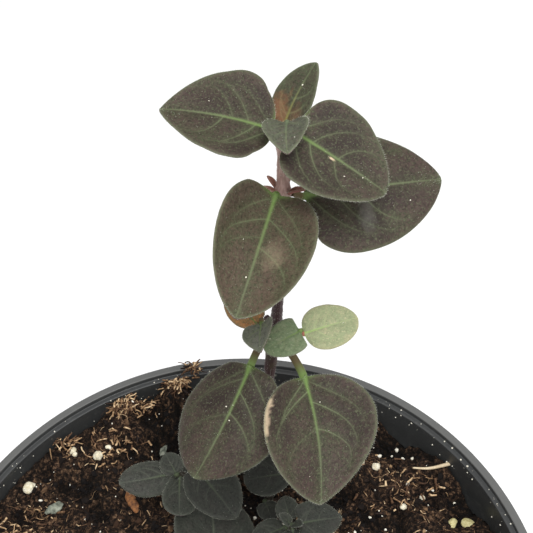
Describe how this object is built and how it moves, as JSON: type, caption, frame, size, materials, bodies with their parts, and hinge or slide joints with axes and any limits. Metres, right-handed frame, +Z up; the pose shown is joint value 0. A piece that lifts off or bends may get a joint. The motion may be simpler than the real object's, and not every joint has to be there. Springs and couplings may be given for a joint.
{
  "type": "potted lysimachia",
  "caption": "Young bronze-leaved lysimachia shoot with low basal shoots, growing in potting mix in a round black nursery pot that rests on its flat foot.",
  "frame": {"origin": "centre of the pot's base, on the surface that it stands on", "axes": "+Z up along the pot's axis; +X to the right and +Y away from the viewer in the reference view"},
  "size_m": [0.108, 0.108, 0.1851],
  "materials": {
    "pot_plastic": "black satin injection-moulded plastic, dusty",
    "potting_mix": "moist dark peat and coir with perlite and bark chips",
    "stem_purple": "dark purple hairy stem",
    "leaf_tip": "young leaf, bronze with an orange base",
    "leaf_bronze": "dark bronze leaf with a bright green midrib and fine white hairs",
    "leaf_pale": "pale yellow-green leaf",
    "leaf_green": "fresh green young leaf",
    "leaf_grey": "grey-green hairy young leaf",
    "leaf_orange": "orange-brown young leaf",
    "basal_green": "dark grey-green leaf and stem"
  },
  "bodies": {
    "root": {"pot": "pot_plastic", "potting_mix": "potting_mix", "main_stem": "stem_purple", "tip_leaf_back": "leaf_tip", "tip_leaf_front": "leaf_tip", "upper_leaf_left": "leaf_bronze", "upper_leaf_right": "leaf_bronze", "middle_leaf_front": "leaf_bronze", "middle_leaf_right": "leaf_bronze", "lower_leaf_left": "leaf_bronze", "lower_leaf_right": "leaf_bronze", "side_leaf_pale": "leaf_pale", "side_leaf_green": "leaf_green", "side_leaf_grey": "leaf_grey", "side_leaf_orange": "leaf_orange", "basal_shoot_left": "basal_green", "basal_shoot_middle": "basal_green", "basal_shoot_centre": "basal_green", "basal_shoot_right": "basal_green", "basal_shoot_front": "basal_green"}
  },
  "joints": []
}
